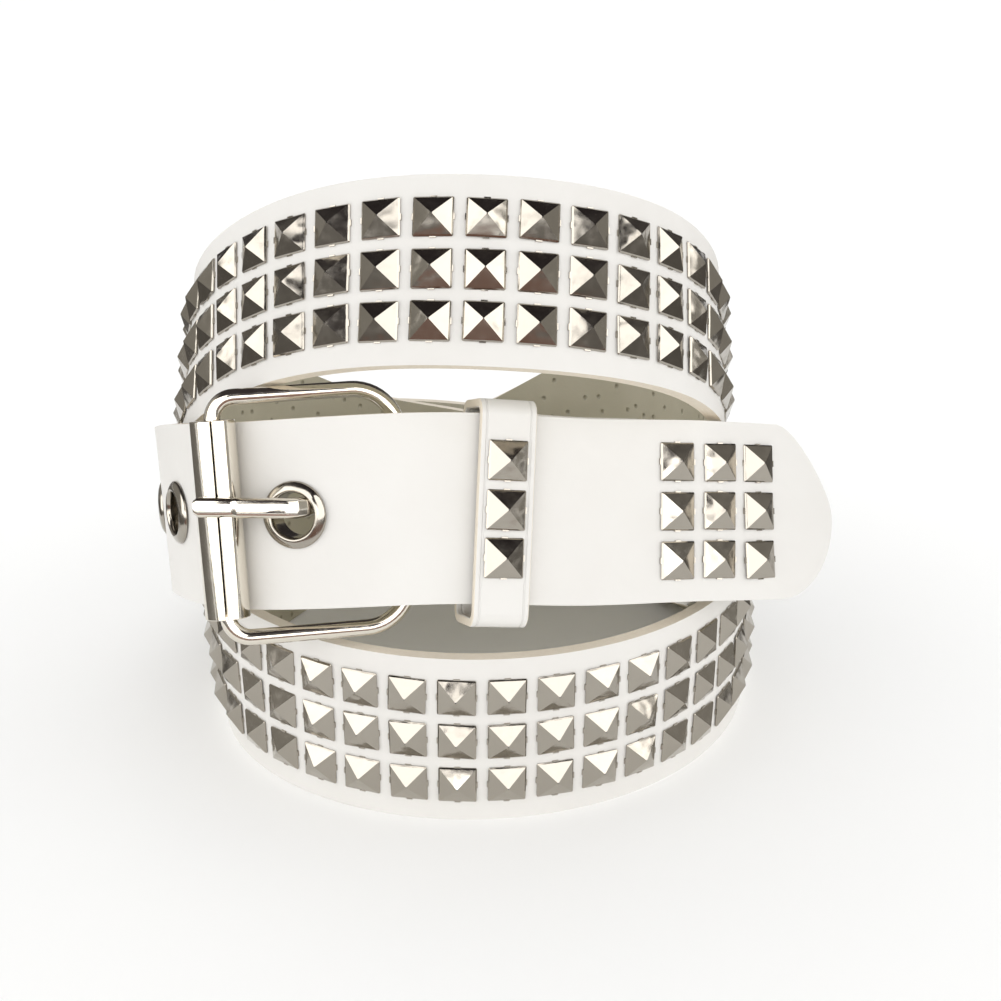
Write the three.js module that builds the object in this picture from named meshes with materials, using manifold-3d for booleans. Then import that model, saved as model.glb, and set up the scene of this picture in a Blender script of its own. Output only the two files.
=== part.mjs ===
// A studded belt, fastened and coiled in three turns, standing on its lowest turn.
// Millimetres, +Z up. The turns wind round a vertical axis, clockwise seen from above.
// Turn 0 is the front (-Y). The turn grows towards -X, from the free tip to the buckle.
import * as THREE from 'three';
import { mergeVertices } from 'three/addons/utils/BufferGeometryUtils.js';
import Module from 'manifold-3d';

const wasm = await Module();
wasm.setup();

// Strap
const strapWidth = 38;
const strapThickness = 1.5;
const liningThickness = 1;
const pieceGap = 0.3;
const facetEase = 0.15;
const tipLength = 17;
const tipFullness = 1.6;
const tipRoundness = 0.65;
const plainStep = 6.5;

// Coil
const coilRadius = 52;
const coilGap = 0.6;
const tuckGap = 0.8;

// Studs
const studSize = 8;
const studHeight = 2.6;
const studRim = 0.7;
const studRimInset = 0.25;
const studRowPitch = 10.3;
const studColumnPitch = 10.09;
const studRows = 3;
const tipStudColumns = 3;
const tipStudStart = 24;
const tipStudPitch = 10.4;
const studsAfterEyelets = 21.4;
const studsBeforeBuckle = 112;

// Eyelets
const eyeletCount = 5;
const firstEyeletTurn = 28.5;
const eyeletPitch = 38.5;
const eyeletBore = 8.9;
const eyeletFlange = 13.6;
const eyeletWall = 0.6;
const eyeletDome = 1.3;
const eyeletBackWidth = 1.3;
const eyeletBackThickness = 0.5;
const eyeletShoulderShare = 1.5;
const eyeletLipShare = 0.85;
const eyeletThroatShare = 0.4;
const eyeletSides = 16;

// Keeper loop
const keeperTurn = -4.5;
const keeperWidth = 11.5;
const keeperThickness = 1.8;
const keeperTopClearance = 1.1;
const keeperBottomClearance = 2.8;
const keeperEase = 0.35;
const keeperCorner = 2.2;
const keeperStudPitch = 9.7;
const keeperCornerSteps = 4;

// Buckle
const wireDiameter = 3.3;
const frameReach = 36.7;
const frameWidth = 48.4;
const frameCorner = 9;
const frameRollerCorner = 4.5;
const rollerTurn = 38.4;
const rollerDiameter = 9;
const rollerLength = 39.6;
const rollerClearance = 0.35;
const rollerSeam = 0.5;
const rollerSeamDepth = 0.7;
const rollerArcSteps = 20;
const prongWidth = 4;
const prongThickness = 2.6;
const prongClearance = 0.35;
const prongOverhang = 4.6;
const prongSwing = 4.5;
const prongStep = 0.7;
const prongStepShare = 0.75;
const prongDroop = 0.5;
const prongEndShare = 0.75;
const prongEyeWall = 1.8;
const prongEyeSides = 20;
const slotPlay = 0.85;
const slotTail = 2.6;
const foldReturn = 42;
const foldClosing = 14;
const foldTaper = 16;
const foldSteps = 8;
const frameSides = 10;
const frameCornerSteps = 5;

// Sizes that follow from the ones above
const strapTotal = strapThickness + pieceGap + liningThickness;
const layerStep = strapTotal + studHeight + coilGap;
const seatGap = pieceGap + facetEase;
const wireRadius = wireDiameter / 2;
const rollerRadius = rollerDiameter / 2;
const foldRadius = wireRadius + pieceGap + strapTotal / 2;
const foldClosed = strapTotal + pieceGap;
const foldHalfWidth = Math.min(strapWidth, frameWidth - 2 * frameCorner) / 2;

// The route of the strap's middle line, from the tip to the bar that it is folded round.
// turn: degrees round the axis. layer: layers of strap between this one and the innermost.
// round: distance from the axis, less the layers, as a share of coilRadius.
// height: above the ground, as a share of strapWidth. lean: degrees, upper edge inwards.
const routeRows = [
  [-70.5, 0, 1.6, 1.38, 27],
  [-45, 0, 1.3, 1.585, 20],
  [-20, 0, 1.19, 1.69, 21],
  [5, 0, 1.26, 1.79, 18.5],
  [30, 0, 1.43, 1.745, 14.5],
  [42, 0, 1.47, 1.655, 10.5],
  [60, 1, 1.33, 1.475, 3],
  [90, 2, 1.188, 1.115, -3],
  [135, 2, 1.12, 0.85, -4],
  [180, 2, 1.02, 0.7, -4],
  [225, 2, 1, 0.53, -4],
  [270, 2, 0.995, 0.495, 0],
  [315, 1, 1.19, 0.495, 0],
  [360, 0, 1.37, 0.495, 0],
  [405, 0, 1.33, 0.495, 0],
  [450, 0, 1.19, 0.495, -7],
  [495, 0, 1.055, 0.545, -3],
  [540, 0, 1, 0.77, -3],
  [585, 0, 0.978, 1.4, -3],
  [630, 0, 1.035, 1.97, -2],
  [675, 0, 1.115, 2.71, 22],
  [720, 0, 1.08, 2.99, 30],
  [765, 0, 1.16, 2.768, 26.5],
  [810, 1, 1.165, 1.935, 6],
  [855, 1, 1.08, 1.05, -2],
  [900, 1, 1.005, 0.69, -4],
  [945, 1, 0.985, 0.56, -4],
  [990, 1, 0.985, 0.95, -4],
  [1012, 1, 1.065, 1.17, -3],
];

// The buckle end behind the tip, one row for a row of the tip.
// turn: the tip's. gap: behind the tip. drop: below it. leanShare: of its lean.
const tuckedRows = [
  [-45, 4.2, 2.6, 0.7],
  [-20, tuckGap, 0.8, 1],
  [5, tuckGap, 0.8, 1],
  [30, tuckGap, 0.8, 1],
];
const fullTurns = 3;
const turnStep = 0.5;

// Natural cubic spline through the knots, as a function of x.
function naturalSpline(xs, ys) {
  const last = xs.length - 1;
  const bend = new Array(last + 1).fill(0);
  const carry = new Array(last + 1).fill(0);
  for (let i = 1; i < last; i++) {
    const before = xs[i] - xs[i - 1];
    const after = xs[i + 1] - xs[i];
    const pivot = 2 * (before + after) - before * carry[i - 1];
    const slopeChange = (ys[i + 1] - ys[i]) / after - (ys[i] - ys[i - 1]) / before;
    carry[i] = after / pivot;
    bend[i] = (6 * slopeChange - before * bend[i - 1]) / pivot;
  }
  for (let i = last - 1; i > 0; i--) bend[i] -= carry[i] * bend[i + 1];
  return (x) => {
    let i = 0;
    while (i < last - 1 && x > xs[i + 1]) i++;
    const span = xs[i + 1] - xs[i];
    const a = (xs[i + 1] - x) / span;
    const b = 1 - a;
    const cubic = (a ** 3 - a) * bend[i] + (b ** 3 - b) * bend[i + 1];
    return a * ys[i] + b * ys[i + 1] + (cubic * span * span) / 6;
  };
}

// The table in millimetres, with the buckle end tucked behind the tip.
function routeKnots() {
  const knots = routeRows.map(([turn, layer, round, height, lean]) => ({
    turn,
    radius: coilRadius * round + layer * layerStep,
    height: strapWidth * height,
    lean,
  }));
  const tucked = tuckedRows.map(([turn, gap, drop, leanShare]) => {
    const tip = knots.find((knot) => knot.turn === turn);
    return {
      turn: turn + 360 * fullTurns,
      radius: tip.radius - strapTotal - gap,
      height: tip.height - drop,
      lean: tip.lean * leanShare,
    };
  });
  return [...knots, ...tucked];
}

// Frames along the strap: place, along (towards the buckle), across (up), out.
function walkRoute() {
  const knots = routeKnots();
  const turns = knots.map((knot) => knot.turn);
  const curveOf = (key) => naturalSpline(turns, knots.map((knot) => knot[key]));
  const radius = curveOf('radius');
  const height = curveOf('height');
  const lean = curveOf('lean');
  const placeAt = (turn) => {
    const angle = THREE.MathUtils.degToRad(turn);
    const r = radius(turn);
    return new THREE.Vector3(-r * Math.sin(angle), -r * Math.cos(angle), height(turn));
  };
  const frames = [];
  let length = 0;
  for (let turn = turns[0]; turn <= turns[turns.length - 1]; turn += turnStep) {
    const place = placeAt(turn);
    const along = placeAt(turn + turnStep / 2).sub(placeAt(turn - turnStep / 2)).normalize();
    const upright = new THREE.Vector3(0, 0, 1).addScaledVector(along, -along.z).normalize();
    const across = upright.applyAxisAngle(along, THREE.MathUtils.degToRad(lean(turn)));
    const out = new THREE.Vector3().crossVectors(across, along);
    const lowest = place.z - (across.z * strapWidth) / 2 - (Math.abs(out.z) * strapTotal) / 2;
    place.z -= Math.min(lowest, 0);
    if (frames.length) length += place.distanceTo(frames[frames.length - 1].place);
    frames.push({ turn, length, place, along, across, out });
  }
  return frames;
}

const routeFrames = walkRoute();

function blendFrames(a, b, share) {
  const mix = (key) => a[key].clone().lerp(b[key], share);
  const along = mix('along').normalize();
  const out = mix('out').addScaledVector(along, -mix('out').dot(along)).normalize();
  return {
    turn: a.turn + (b.turn - a.turn) * share,
    length: a.length + (b.length - a.length) * share,
    place: mix('place'),
    along,
    across: new THREE.Vector3().crossVectors(along, out),
    out,
  };
}

// The frame where the running value called key (length or turn) reaches value.
function frameWhere(key, value) {
  let i = 0;
  while (i < routeFrames.length - 2 && routeFrames[i + 1][key] < value) i++;
  const a = routeFrames[i];
  const b = routeFrames[i + 1];
  return blendFrames(a, b, (value - a[key]) / (b[key] - a[key]));
}

const frameAtLength = (length) => frameWhere('length', length);
const frameAtTurn = (turn) => frameWhere('turn', turn);

// A point from a frame: up the strap's width, and out from its middle.
function pointIn(frame, up, outwards, onwards = 0) {
  return frame.place
    .clone()
    .addScaledVector(frame.across, up)
    .addScaledVector(frame.out, outwards)
    .addScaledVector(frame.along, onwards);
}

// The highest and lowest levels, out from a frame, of a stretch of the strap's middle surface.
function levelsOver(frame, middleLength, halfLength, lowUp, highUp) {
  const levels = [];
  for (const share of [-1, -0.5, 0, 0.5, 1]) {
    for (const up of [lowUp, highUp]) {
      const point = pointIn(frameAtLength(middleLength + share * halfLength), up, 0);
      levels.push(point.sub(frame.place).dot(frame.out));
    }
  }
  return { highest: Math.max(...levels), lowest: Math.min(...levels) };
}

// Buckle axes: the roller lies on the strap, the other bar lies behind the tucked end.
function barCentre(frame) {
  return pointIn(frame, 0, -foldRadius);
}

const rollerSeat = frameAtTurn(rollerTurn);
const rollerCentre = pointIn(rollerSeat, 0, strapTotal / 2 + seatGap + rollerRadius);

// The tucked strap ends where its bar lies one frameReach from the roller.
function findHinge() {
  let near = 360 * fullTurns + rollerTurn - 10;
  let far = 360 * fullTurns - 30;
  for (let i = 0; i < 40; i++) {
    const middle = (near + far) / 2;
    const reach = barCentre(frameAtTurn(middle)).distanceTo(rollerCentre);
    if (reach < frameReach) near = middle;
    else far = middle;
  }
  return frameAtTurn((near + far) / 2);
}

const hingeSeat = findHinge();
const hingeCentre = barCentre(hingeSeat);
const strapLength = hingeSeat.length;

// The part of way that is square to axis, as a unit vector.
const squareTo = (axis, way) => way.clone().addScaledVector(axis, -axis.dot(way)).normalize();

const reachWay = rollerCentre.clone().sub(hingeCentre).normalize();
const barWay = squareTo(reachWay, hingeSeat.across.clone().add(rollerSeat.across));
const buckleOut = new THREE.Vector3().crossVectors(barWay, reachWay);

// The strap's last frame, squared to the bar that it is folded round.
function squaredHinge() {
  const out = squareTo(barWay, hingeSeat.out);
  const along = new THREE.Vector3().crossVectors(out, barWay);
  return { length: strapLength, place: hingeSeat.place, along, across: barWay, out };
}

const hinge = squaredHinge();

// A point in the buckle: reach from the hinge bar to the roller, out, and along the bars.
function bucklePoint(reach, outwards, alongBar = 0) {
  return hingeCentre
    .clone()
    .addScaledVector(reachWay, reach)
    .addScaledVector(buckleOut, outwards)
    .addScaledVector(barWay, alongBar);
}

// Mesh helpers

// Triangles as a geometry, without those that two shared corners leave flat.
function geometryOf(faces) {
  const triangles = faces.filter(([a, b, c]) => a !== b && b !== c && c !== a);
  const values = triangles.flatMap((corners) => corners.flatMap((p) => [p.x, p.y, p.z]));
  const geometry = new THREE.BufferGeometry();
  geometry.setAttribute('position', new THREE.Float32BufferAttribute(values, 3));
  return geometry;
}

// Skin over rings of as many points each, closed by flat ends or joined into a loop.
function skin(rings, looped = false) {
  const triangles = [];
  const count = rings[0].length;
  const joints = looped ? rings.length : rings.length - 1;
  for (let k = 0; k < joints; k++) {
    const a = rings[k];
    const b = rings[(k + 1) % rings.length];
    for (let i = 0; i < count; i++) {
      const j = (i + 1) % count;
      triangles.push([a[i], a[j], b[j]], [a[i], b[j], b[i]]);
    }
  }
  if (!looped) {
    const first = rings[0];
    const final = rings[rings.length - 1];
    for (let i = 1; i < count - 1; i++) {
      triangles.push([first[0], first[i + 1], first[i]], [final[0], final[i], final[i + 1]]);
    }
  }
  return geometryOf(triangles);
}

function solidOf(geometry) {
  const bare = geometry.index ? geometry.toNonIndexed() : geometry.clone();
  bare.deleteAttribute('normal');
  bare.deleteAttribute('uv');
  const merged = mergeVertices(bare, 1e-4);
  const solid = new wasm.Manifold(
    new wasm.Mesh({
      numProp: 3,
      vertProperties: merged.attributes.position.array,
      triVerts: new Uint32Array(merged.index.array),
    }),
  );
  return solid;
}

function geometryFrom(solid) {
  const mesh = solid.getMesh();
  const geometry = new THREE.BufferGeometry();
  geometry.setAttribute('position', new THREE.Float32BufferAttribute(mesh.vertProperties, 3));
  geometry.setIndex([...mesh.triVerts]);
  return geometry;
}

const cut = (geometry, tools) =>
  geometryFrom(tools.reduce((solid, tool) => solid.subtract(solidOf(tool)), solidOf(geometry)));

// Places a shape drawn with x across, y out and z along at a frame.
function placeAtFrame(geometry, frame, up = 0, outwards = 0) {
  const matrix = new THREE.Matrix4().makeBasis(
    frame.across,
    frame.out,
    frame.along.clone().negate(),
  );
  return geometry.applyMatrix4(matrix.setPosition(pointIn(frame, up, outwards)));
}

// Strap, lining and fold

function tipHalfWidth(length) {
  const t = 1 - Math.min(length / tipLength, 1);
  return (strapWidth / 2) * (1 - t ** tipFullness) ** tipRoundness;
}

// The strap narrows near the hinge bar, so that it fits between the frame's corners.
function foldedHalfWidth(fromHinge) {
  const share = THREE.MathUtils.smoothstep(fromHinge, foldTaper / 4, foldTaper);
  return THREE.MathUtils.lerp(foldHalfWidth, strapWidth / 2, share);
}

// The strap's end goes round the hinge bar and back behind itself.
function foldFrames() {
  const frames = [];
  for (let i = 1; i <= foldSteps; i++) {
    const angle = (-Math.PI * i) / foldSteps;
    const out = hinge.out.clone().applyAxisAngle(hinge.across, angle);
    const along = hinge.along.clone().applyAxisAngle(hinge.across, angle);
    const place = hingeCentre.clone().addScaledVector(out, foldRadius);
    frames.push({ place, along, across: hinge.across, out, halfWidth: foldHalfWidth });
  }
  for (let i = 1; i <= foldSteps; i++) {
    const back = (foldReturn * i) / foldSteps;
    const frame = frameAtLength(strapLength - back);
    const depth = THREE.MathUtils.lerp(2 * foldRadius, foldClosed,
      THREE.MathUtils.smoothstep(back, 0, foldClosing));
    frames.push({
      place: pointIn(frame, 0, -depth),
      along: frame.along.clone().negate(),
      across: frame.across,
      out: frame.out.clone().negate(),
      halfWidth: foldedHalfWidth(back),
    });
  }
  return frames;
}

const firstEyelet = frameAtTurn(firstEyeletTurn).length;
const eyeletLengths = Array.from({ length: eyeletCount }, (_, i) => firstEyelet + i * eyeletPitch);
const studStart = eyeletLengths[eyeletCount - 1] + studsAfterEyelets;
const studColumns = 1 + Math.floor((strapLength - studsBeforeBuckle - studStart) / studColumnPitch);
const studLengths = Array.from({ length: studColumns }, (_, i) => studStart + i * studColumnPitch);
const rowHeights = Array.from({ length: studRows }, (_, i) => ((studRows - 1) / 2 - i) * studRowPitch);

// Lengths where the strap has a section: close on the tip, evenly where plain.
function plainLengths(from, to) {
  const steps = Math.max(1, Math.round((to - from) / plainStep));
  return Array.from({ length: steps }, (_, i) => from + ((to - from) * i) / steps);
}

function tipLengths() {
  return [0.004, 0.03, 0.09, 0.2, 0.38, 0.64].map((share) => share * tipLength);
}

const halfStud = studSize / 2;
const fieldStart = studLengths[0] - halfStud;
const fieldEnd = studLengths[studColumns - 1] + halfStud;
const lengthsBefore = [...tipLengths(), ...plainLengths(tipLength, fieldStart)];

// Frames from the stud field to the end of the fold, each with its half width.
function buckleEndFrames() {
  const tucked = plainLengths(fieldEnd, strapLength).slice(1).map((length) => ({
    ...frameAtLength(length),
    halfWidth: foldedHalfWidth(strapLength - length),
  }));
  return [...tucked, { ...hinge, halfWidth: foldHalfWidth }, ...foldFrames()];
}

// The corners of a stud's square, anticlockwise seen from outside.
function studSquare(frame, up, halfSide, outwards) {
  return [[-1, 1], [1, 1], [1, -1], [-1, -1]].map(([onwards, upwards]) =>
    pointIn(frame, up + upwards * halfSide, outwards, onwards * halfSide));
}

// Sides that rise from one square to the next, or to a peak.
function risingSides(corners, next) {
  const triangles = [];
  corners.forEach((corner, i) => {
    const j = (i + 1) % corners.length;
    if (Array.isArray(next)) triangles.push([corner, corners[j], next[j]], [corner, next[j], next[i]]);
    else triangles.push([corner, corners[j], next]);
  });
  return triangles;
}

// A section's points on one face, from the upper edge to the lower one.
function facePoints(frame, ups, outwards) {
  return ups.map((up) => ({ up, point: pointIn(frame, up, outwards) }));
}

const acrossStops = (halfWidth) => [halfWidth, 0, -halfWidth];

function plainSection(frame, halfWidth, inner, outer) {
  const stops = acrossStops(halfWidth);
  return { inner: facePoints(frame, stops, inner), outer: facePoints(frame, stops, outer) };
}

// Triangles between the faces of two sections, downwards; cell(i) may fill a square itself.
function zipFaces(a, b, cell) {
  const triangles = [];
  let i = 0;
  let j = 0;
  while (i < a.length - 1 || j < b.length - 1) {
    const filled = cell && i === j && cell(i, [a[i], b[j], b[j + 1], a[i + 1]].map((p) => p.point));
    if (filled) {
      triangles.push(...filled);
      i++;
      j++;
    } else if (i === a.length - 1 || (j < b.length - 1 && b[j + 1].up >= a[i + 1].up)) {
      triangles.push([a[i].point, b[j].point, b[j + 1].point]);
      j++;
    } else {
      triangles.push([a[i].point, b[j].point, a[i + 1].point]);
      i++;
    }
  }
  return triangles;
}

const turnedOver = (triangles) => triangles.map(([a, b, c]) => [a, c, b]);

// A strip through the sections; cells(k) tells how to fill the squares after section k.
function stripGeometry(sections, cells = () => null) {
  const triangles = [];
  const face = (a, b, c, d) => triangles.push([a, b, c], [a, c, d]);
  for (let k = 0; k < sections.length - 1; k++) {
    const a = sections[k];
    const b = sections[k + 1];
    triangles.push(...zipFaces(a.outer, b.outer, cells(k)));
    triangles.push(...turnedOver(zipFaces(a.inner, b.inner)));
    face(a.inner[0].point, b.inner[0].point, b.outer[0].point, a.outer[0].point);
    const [aOuter, bOuter, aInner, bInner] = [a.outer, b.outer, a.inner, b.inner]
      .map((points) => points[points.length - 1].point);
    face(aInner, aOuter, bOuter, bInner);
  }
  const final = sections[sections.length - 1];
  triangles.push(...zipFaces(sections[0].inner, sections[0].outer));
  triangles.push(...turnedOver(zipFaces(final.inner, final.outer)));
  return geometryOf(triangles);
}

function liningGeometry() {
  const inner = -strapTotal / 2;
  const outer = inner + liningThickness;
  const lengths = [...lengthsBefore, ...studLengths];
  return stripGeometry([
    ...lengths.map((s) => plainSection(frameAtLength(s), tipHalfWidth(s), inner, outer)),
    ...buckleEndFrames().map((end) => plainSection(end, end.halfWidth, inner, outer)),
  ]);
}

// The two sections of a stud column share the points of their inner face.
function columnSections(length, inner, outer) {
  const half = strapWidth / 2;
  const stops = [half, ...rowHeights.flatMap((up) => [up + halfStud, up - halfStud]), -half];
  const shared = facePoints(frameAtLength(length), acrossStops(half), inner);
  return [length - halfStud, length + halfStud].map((s) => ({
    inner: shared,
    outer: facePoints(frameAtLength(s), stops, outer),
  }));
}

// The upper leather with the stud field raised from it, as one body.
function strapGeometry() {
  const outer = strapTotal / 2;
  const inner = outer - strapThickness;
  const before = lengthsBefore.map((s) =>
    plainSection(frameAtLength(s), tipHalfWidth(s), inner, outer));
  const field = studLengths.flatMap((length) => columnSections(length, inner, outer));
  const after = buckleEndFrames().map((end) => plainSection(end, end.halfWidth, inner, outer));
  const studCell = (k) => {
    const length = studLengths[(k - before.length) / 2];
    if (length === undefined) return null;
    return (i, corners) => {
      const up = rowHeights[(i - 1) / 2];
      if (up === undefined) return null;
      return risingSides(corners, pointIn(frameAtLength(length), up, outer + studHeight));
    };
  };
  return stripGeometry([...before, ...field, ...after], studCell);
}

// Tools that cut the leather and the lining alike
function eyeletHole(length) {
  const radius = eyeletBore / 2 + eyeletWall + pieceGap;
  return placeAtFrame(new THREE.CylinderGeometry(radius, radius, 2 * strapTotal, eyeletSides),
    frameAtLength(length));
}

function prongSlot() {
  const height = 2 * (foldRadius + strapTotal / 2 + pieceGap);
  const back = wireRadius + prongClearance + prongThickness + 2 * slotPlay + slotTail;
  const front = foldRadius + strapTotal / 2 + slotPlay;
  const box = new THREE.BoxGeometry(prongWidth + 2 * slotPlay, height, back + front);
  box.translate(0, 0, (back - front) / 2);
  return placeAtFrame(box, hinge, 0, -foldRadius);
}

// Loose studs, eyelets, keeper

function looseStud(frame, up, seat) {
  const { highest } = levelsOver(frame, frame.length, halfStud, up - halfStud, up + halfStud);
  const base = seat + Math.max(highest, 0);
  const foot = studSquare(frame, up, halfStud, base);
  const rim = studSquare(frame, up, halfStud - studRimInset, base + studRim);
  return geometryOf([
    ...risingSides(foot, rim),
    ...risingSides(rim, pointIn(frame, up, base + studHeight)),
    [foot[0], foot[2], foot[1]],
    [foot[0], foot[3], foot[2]],
  ]);
}

function eyeletGeometry(length) {
  const frame = frameAtLength(length);
  const bore = eyeletBore / 2;
  const flange = eyeletFlange / 2;
  const barrel = bore + eyeletWall;
  const { highest, lowest } = levelsOver(frame, length, flange, -flange, flange);
  const front = strapTotal / 2 + seatGap + highest;
  const back = -strapTotal / 2 - seatGap + lowest;
  const backRim = barrel + eyeletBackWidth;
  const profile = [
    [bore, back - eyeletBackThickness],
    [backRim, back - eyeletBackThickness],
    [backRim, back],
    [barrel, back],
    [barrel, front],
    [flange, front],
    [flange - eyeletWall * eyeletShoulderShare, front + eyeletDome],
    [barrel, front + eyeletDome * eyeletLipShare],
    [bore, front + eyeletDome * eyeletThroatShare],
    [bore, back - eyeletBackThickness],
  ].map(([x, y]) => new THREE.Vector2(x, y));
  return placeAtFrame(new THREE.LatheGeometry(profile, eyeletSides), frame);
}

// Points round a rectangle centred at (0, 0), its corners round, those at +x and -x alike or not.
function roundedLoop(halfX, halfY, cornerPlus, cornerMinus, arcSteps) {
  const points = [];
  const centres = [[1, 1], [-1, 1], [-1, -1], [1, -1]];
  centres.forEach(([sx, sy], quarter) => {
    const corner = sx > 0 ? cornerPlus : cornerMinus;
    for (let i = 0; i <= arcSteps; i++) {
      const angle = ((quarter + i / arcSteps) * Math.PI) / 2;
      points.push({
        x: sx * (halfX - corner) + corner * Math.cos(angle),
        y: sy * (halfY - corner) + corner * Math.sin(angle),
        outX: Math.cos(angle),
        outY: Math.sin(angle),
      });
    }
  });
  return points;
}

const keeperFrame = frameAtTurn(keeperTurn);

// The keeper lies over the tip and under the fold's return leaf.
const keeperLevels = [keeperTurn, keeperTurn + 360 * fullTurns].map((turn) =>
  levelsOver(keeperFrame, frameAtTurn(turn).length, keeperWidth / 2, -strapWidth / 2, strapWidth / 2));
const keeperFront = keeperLevels[0].highest + strapTotal / 2 + seatGap + keeperEase;
const keeperBack = keeperLevels[1].lowest - foldClosed - strapTotal / 2 - seatGap - keeperEase;

function keeperGeometry() {
  const top = strapWidth / 2 + keeperTopClearance;
  const bottom = -(strapWidth / 2 + keeperBottomClearance);
  const halfX = (top - bottom) / 2 + keeperThickness / 2;
  const halfY = (keeperFront - keeperBack) / 2 + keeperThickness / 2;
  const middleUp = (top + bottom) / 2;
  const middleOut = (keeperFront + keeperBack) / 2;
  const rings = roundedLoop(halfX, halfY, keeperCorner, keeperCorner, keeperCornerSteps).map((p) => {
    const at = (thick, onwards) => pointIn(keeperFrame, middleUp + p.x + p.outX * thick,
      middleOut + p.y + p.outY * thick, onwards);
    const t = keeperThickness / 2;
    const w = keeperWidth / 2;
    return [at(-t, -w), at(t, -w), at(t, w), at(-t, w)];
  });
  return skin(rings, true);
}

// Buckle

function frameGeometry() {
  const halfReach = frameReach / 2;
  const loop = roundedLoop(halfReach, frameWidth / 2, frameRollerCorner, frameCorner,
    frameCornerSteps);
  const rings = loop.map((p) =>
    Array.from({ length: frameSides }, (_, i) => {
      const angle = (2 * Math.PI * i) / frameSides;
      const outwards = wireRadius * Math.cos(angle);
      return bucklePoint(halfReach + p.x + p.outX * outwards, wireRadius * Math.sin(angle),
        p.y + p.outY * outwards);
    }));
  return skin(rings, true);
}

// Axes of the buckle as a matrix: x to the roller, y along the bars, z inwards.
function buckleMatrix(reach) {
  return new THREE.Matrix4()
    .makeBasis(reachWay, barWay, buckleOut.clone().negate())
    .setPosition(bucklePoint(reach, 0));
}

// A rolled metal tube round the outer bar, with its open seam.
function rollerGeometry() {
  const shape = new THREE.Shape();
  const seamAngle = rollerSeam / rollerDiameter;
  const floor = rollerRadius - rollerSeamDepth;
  shape.absarc(0, 0, rollerRadius, seamAngle, 2 * Math.PI - seamAngle, false);
  shape.lineTo(floor * Math.cos(seamAngle), -floor * Math.sin(seamAngle));
  shape.lineTo(floor * Math.cos(seamAngle), floor * Math.sin(seamAngle));
  const bore = new THREE.Path();
  bore.absarc(0, 0, wireRadius + rollerClearance, 0, 2 * Math.PI, true);
  shape.holes.push(bore);
  const tube = new THREE.ExtrudeGeometry(shape, {
    depth: rollerLength,
    bevelEnabled: false,
    curveSegments: rollerArcSteps,
  });
  tube.translate(0, 0, -rollerLength / 2);
  tube.rotateZ(Math.PI / 2);
  tube.rotateX(-Math.PI / 2);
  return tube.applyMatrix4(buckleMatrix(frameReach));
}

// The prong's middle line through the first eyelet.
// side: 1 in front of the strap's face, -1 behind its back.
// past: beyond the eyelet's middle, as a share of its bore's radius.
// off: away from that face or back, as a share of prongThickness.
const prongRise = [
  [-1, -1.24, 1.23],
  [-1, -0.4, 0.77],
  [1, 0.31, 0.73],
  [1, 0.76, 1.35],
];

// The prong hangs on the hinge bar, comes up through the first eyelet and lies on the roller.
// It has swung a little along the bars, as far as the slot's play lets it.
function prongGeometry() {
  const eyelet = frameAtLength(firstEyelet);
  const local = eyelet.place.clone().sub(hingeCentre);
  const holeReach = local.dot(reachWay);
  const holeOut = local.dot(buckleOut);
  const ride = rollerRadius + pieceGap + prongThickness / 2;
  const aside = Math.tan(THREE.MathUtils.degToRad(prongSwing));
  const route = [
    [0, 0],
    ...prongRise.map(([side, past, off]) => [
      holeReach + (past * eyeletBore) / 2,
      holeOut + side * (strapTotal / 2 + off * prongThickness),
    ]),
    [frameReach - rollerRadius * prongStepShare, ride + prongStep],
    [frameReach, ride],
    [frameReach + prongOverhang, ride - prongDroop],
  ];
  const t = prongThickness / 2;
  const w = prongWidth / 2;
  const rings = route.map(([reach, outwards], i) => {
    const before = route[Math.max(i - 1, 0)];
    const after = route[Math.min(i + 1, route.length - 1)];
    const way = new THREE.Vector2(after[0] - before[0], after[1] - before[1]).normalize();
    const narrow = i === route.length - 1 ? prongEndShare : 1;
    const at = (thick, wide) =>
      bucklePoint(reach - way.y * thick, outwards + way.x * thick, reach * aside + wide * narrow);
    return [at(-t, -w), at(t, -w), at(t, w), at(-t, w)];
  });
  const bar = skin(rings);
  const ringShape = new THREE.Shape();
  const eye = wireRadius + prongClearance;
  ringShape.absarc(0, 0, eye + prongEyeWall, 0, 2 * Math.PI, false);
  const disc = new THREE.ExtrudeGeometry(ringShape, {
    depth: prongWidth,
    bevelEnabled: false,
    curveSegments: prongEyeSides / 2,
  });
  const plug = new THREE.CylinderGeometry(eye, eye, prongWidth * 2, prongEyeSides);
  disc.translate(0, 0, -prongWidth / 2);
  disc.rotateX(-Math.PI / 2);
  for (const piece of [disc, plug]) piece.applyMatrix4(buckleMatrix(0));
  return geometryFrom(solidOf(bar).add(solidOf(disc)).subtract(solidOf(plug)));
}

// Finishes

const finish = (color, roughness, metalness) =>
  new THREE.MeshStandardMaterial({ color, roughness, metalness });
const whiteLeather = finish(0xf0eeea, 0.5, 0);
const greyLining = finish(0x9a9488, 0.85, 0);
const nickel = finish(0xc9c6c0, 0.18, 1);

// Assembly

const belt = new THREE.Group();
function add(name, geometry, material) {
  const mesh = new THREE.Mesh(geometry, material);
  mesh.name = name;
  belt.add(mesh);
}

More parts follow.
